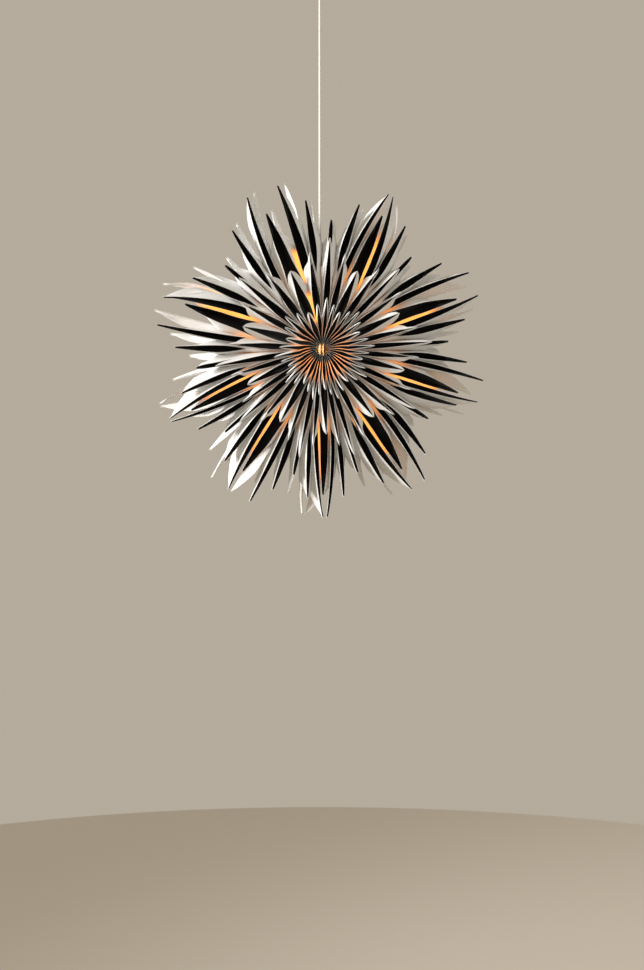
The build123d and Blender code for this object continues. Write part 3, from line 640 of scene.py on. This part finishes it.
# Along its cut edges the black face shows a hair of the white core.
CUT_EDGE = (0.80, 0.77, 0.72)
rim_mark = tree.nodes.new("ShaderNodeAttribute")
rim_mark.attribute_name = "rim"
border = tree.nodes.new("ShaderNodeMapRange")
border.inputs["From Min"].default_value = 0.0
border.inputs["From Max"].default_value = 1.0
border.inputs["To Min"].default_value = 1.0
border.inputs["To Max"].default_value = 0.0
edge = tree.nodes.new("ShaderNodeMix")
edge.data_type = "RGBA"
edge.inputs["B"].default_value = (*CUT_EDGE, 1.0)
grain_group = next(n for n in tree.nodes if n.type == "GROUP")
tree.links.new(rim_mark.outputs["Fac"], border.inputs["Value"])
tree.links.new(border.outputs["Result"], edge.inputs["Factor"])
tree.links.new(grain_group.outputs["Colour"], edge.inputs["A"])
tree.links.new(edge.outputs["Result"], shader.inputs["Base Color"])

# A piece is half a group, three leaves, as in the solids.
HALF_GROUP = 3
SHARP_FOLD = 50.0             # a crease keener than this stays sharp, degrees
for crown, front in (("front", True), ("back", False)):
    for group in range(len(TIPS)):
        for half, first in (("a", 0), ("b", HALF_GROUP)):
            store = {"corners": [], "faces": [], "material": [], "painted_glow": [], "rim": []}
            for place in range(first, first + HALF_GROUP):
                leaf_mesh(group * len(GROUP) + place, front, store)
            mesh = bpy.data.meshes.new(f"{crown}_card_{group + 1}{half}")
            mesh.from_pydata(store["corners"], [], store["faces"])
            mesh.materials.append(white_card)
            mesh.materials.append(black_card)
            mesh.polygons.foreach_set("material_index", store["material"])
            # The painted glow of the bulb and the cut-edge mark go on the mesh as attributes.
            for mark in ("painted_glow", "rim"):
                layer = mesh.attributes.new(mark, "FLOAT", "POINT")
                layer.data.foreach_set("value", store[mark])
            mesh.polygons.foreach_set("use_smooth", [True] * len(mesh.polygons))
            mesh.set_sharp_from_angle(angle=radians(SHARP_FOLD))
            mesh.update()
            new_piece(mesh.name, mesh, "star", "card", f"{crown}_leaves_{group + 1}{half}")

# ------------------------------------------------------------------ bulb
# A clear globe with four lit filament rods on a glass stem, in a nickel screw cap with
# a black insulator and a tinned contact.
bulb_glass = new_material("bulb glass", (0.76, 0.70, 0.62), 0.02, IOR=1.2,
                          Transmission_Weight=1.0)[0]
lit_rods, tree, shader = new_material("lit filaments", (1.0, 0.75, 0.42), 0.5,
                                      Emission_Strength=0.7)
shader.inputs["Emission Color"].default_value = (1.0, 0.78, 0.50, 1.0)
nickel = grained("nickel", (0.62, 0.60, 0.56), (0.50, 0.48, 0.45), 0.30, grain=2500.0,
                 Metallic=1.0)
black_glass = grained("black insulator", (0.015, 0.015, 0.017), (0.02, 0.02, 0.02), 0.18)

# A thread of four turns is rolled into the cap's skirt. Three of them let the bulb out.
# Its foot is a height over the middle of the star.
THREAD_PITCH = 8.5 / 3
THREAD_TURNS = 4.0
THREAD = {"Radius": 6.75, "Bead": 0.4, "Turns": THREAD_TURNS,
          "Height": THREAD_TURNS * THREAD_PITCH, "Foot": 31.5}
THREAD_STEPS = 48         # points of the helix in one turn
BEAD_SIDES = 10


def thread_tree(sizes, material):
    """Geometry nodes for a screw thread: a helix with a round bead swept along it."""
    tree = bpy.data.node_groups.new("rolled thread", "GeometryNodeTree")
    for label, size in sizes.items():
        socket = tree.interface.new_socket(label, in_out="INPUT",
                                           socket_type="NodeSocketFloat")
        socket.default_value = size
    tree.interface.new_socket("Mesh", in_out="OUTPUT", socket_type="NodeSocketGeometry")
    add, link = tree.nodes.new, tree.links.new
    source, sink = add("NodeGroupInput"), add("NodeGroupOutput")
    helix = add("GeometryNodeCurveSpiral")
    helix.inputs["Resolution"].default_value = THREAD_STEPS
    link(source.outputs["Turns"], helix.inputs["Rotations"])
    link(source.outputs["Radius"], helix.inputs["Start Radius"])
    link(source.outputs["Radius"], helix.inputs["End Radius"])
    link(source.outputs["Height"], helix.inputs["Height"])
    bead = add("GeometryNodeCurvePrimitiveCircle")
    bead.inputs["Resolution"].default_value = BEAD_SIDES
    link(source.outputs["Bead"], bead.inputs["Radius"])
    sweep = add("GeometryNodeCurveToMesh")
    sweep.inputs["Fill Caps"].default_value = True
    link(helix.outputs["Curve"], sweep.inputs["Curve"])
    link(bead.outputs["Curve"], sweep.inputs["Profile Curve"])
    lift = add("ShaderNodeCombineXYZ")
    link(source.outputs["Foot"], lift.inputs["Z"])
    move = add("GeometryNodeTransform")
    link(lift.outputs["Vector"], move.inputs["Translation"])
    link(sweep.outputs["Mesh"], move.inputs["Geometry"])
    plain = add("GeometryNodeRealizeInstances")
    link(move.outputs["Geometry"], plain.inputs["Geometry"])
    finish = add("GeometryNodeSetMaterial")
    finish.inputs["Material"].default_value = material
    link(plain.outputs["Geometry"], finish.inputs["Geometry"])
    link(finish.outputs["Geometry"], sink.inputs["Mesh"])
    return tree


blank = bpy.data.objects.new("thread blank", bpy.data.meshes.new("thread blank"))
bpy.context.scene.collection.objects.link(blank)
roll = blank.modifiers.new("roll", "NODES")
roll.node_group = thread_tree(THREAD, nickel)
for socket in roll.node_group.interface.items_tree:
    if socket.in_out == "INPUT":
        height = STAR_CENTRE.z if socket.name == "Foot" else 0.0
        scale = 1.0 if socket.name == "Turns" else MM
        roll[socket.identifier] = THREAD[socket.name] * scale + height
thread = bpy.data.meshes.new_from_object(
    blank.evaluated_get(bpy.context.evaluated_depsgraph_get()))
thread.name = "bulb_thread"
bpy.data.objects.remove(blank)
form = bmesh.new()
form.from_mesh(thread)
bmesh.ops.recalc_face_normals(form, faces=form.faces)
form.to_mesh(thread)
form.free()
new_piece("bulb_thread", thread, "bulb", "nickel")

# ------------------------------------------------------------------ lampholder and hanger
# White moulded holder with a hexagonal cord grip, a black heat-proof core and brass
# contacts; a zinc wire lies in the groove of the top leaves and turns on a collar.
white_plastic = grained("white moulding", (0.80, 0.79, 0.75), (0.77, 0.76, 0.72), 0.38)
black_plastic = grained("black moulding", (0.02, 0.02, 0.02), (0.03, 0.03, 0.03), 0.45)
brass = grained("brass", (0.62, 0.42, 0.16), (0.50, 0.33, 0.12), 0.32, Metallic=1.0)
zinc = grained("zinc plate", (0.52, 0.53, 0.54), (0.44, 0.45, 0.47), 0.38, patch=120.0,
               Metallic=1.0)

# ------------------------------------------------------------------ ceiling cup
# A spun steel cup with satin white paint, held on the cord by a moulded bush.
white_paint = grained("white paint", (0.80, 0.79, 0.76), (0.76, 0.75, 0.72), 0.34)

FINISHES = {
    "bulb_glass": bulb_glass, "bulb_filament": lit_rods, "bulb_cap": nickel,
    "bulb_tip": nickel, "bulb_insulator": black_glass, "holder_body": white_plastic,
    "holder_cap": white_plastic, "holder_nut": white_plastic, "cord_collar": white_plastic,
    "holder_insert": black_plastic, "holder_contacts": brass, "terminal_screws": brass,
    "hanger": zinc, "collar_screw": zinc, "cup_screw": zinc, "clamp_screws": zinc,
    "ceiling_plate": zinc, "cord_clamp": white_plastic, "terminal_block": white_plastic,
    "cup_grip": white_plastic, "canopy_cup": white_paint,
}
for name, material in FINISHES.items():
    slots = nodes[name].data.materials
    if len(slots) == 0:
        slots.append(material)
    for number in range(len(slots)):
        slots[number] = material

# ------------------------------------------------------------------ light and backdrop
# A pale floor far below in an even pale surround, one soft lamp on the left, a weak
# fill, and the warm light of the bulb itself.
FLOOR_HEIGHT = -2.3
FLOOR_RADIUS = 2.2
FLOOR_SIDES = 96

floor_mesh = bpy.data.meshes.new("floor")
floor_ring = [(FLOOR_RADIUS * cos(2 * pi * i / FLOOR_SIDES),
               FLOOR_RADIUS * sin(2 * pi * i / FLOOR_SIDES), FLOOR_HEIGHT)
              for i in range(FLOOR_SIDES)]
floor_mesh.from_pydata(floor_ring, [], [list(range(FLOOR_SIDES))])
floor_mesh.materials.append(new_material("pale floor", (0.74, 0.69, 0.61), 0.9)[0])
floor = bpy.data.objects.new("floor", floor_mesh)
bpy.context.scene.collection.objects.link(floor)

LAMP_SPREAD = 50.0             # degrees


def soft_lamp(name, place, size, power, colour):
    """A round area lamp that points at the star; its place is counted from the star."""
    data = bpy.data.lights.new(name, "AREA")
    data.shape = "DISK"
    data.size = size
    data.energy = power
    data.color = colour
    data.spread = radians(LAMP_SPREAD)
    lamp = bpy.data.objects.new(name, data)
    bpy.context.scene.collection.objects.link(lamp)
    lamp.location = STAR_CENTRE + Vector(place)
    lamp.rotation_euler = (STAR_CENTRE - lamp.location).to_track_quat("-Z", "Y").to_euler()


soft_lamp("key", place=(-3.5, -0.6, 1.0), size=1.2, power=20.0, colour=(1.0, 0.99, 0.98))
soft_lamp("fill", place=(2.6, -3.2, 0.6), size=2.5, power=3.0, colour=(1.0, 0.97, 0.94))

BULB_POWER = 0.35
FILAMENT_SIZE = 0.008
bulb_light = bpy.data.lights.new("bulb light", "POINT")
bulb_light.energy = BULB_POWER
bulb_light.shadow_soft_size = FILAMENT_SIZE
bulb_light.color = (1.0, 0.62, 0.30)
bulb_lamp = bpy.data.objects.new("bulb light", bulb_light)
bpy.context.scene.collection.objects.link(bulb_lamp)
bulb_lamp.location = STAR_CENTRE
bulb_lamp.visible_camera = False
bulb_lamp.visible_transmission = False
bulb_lamp.visible_glossy = False

SURROUND = (1.0, 0.89, 0.73)
SURROUND_STRENGTH = 0.46
world = bpy.data.worlds.new("soft room")
bpy.context.scene.world = world
world.use_nodes = True
background = world.node_tree.nodes["Background"]
background.inputs["Color"].default_value = (*SURROUND, 1.0)
background.inputs["Strength"].default_value = SURROUND_STRENGTH
bpy.context.scene.view_settings.view_transform = "Standard"
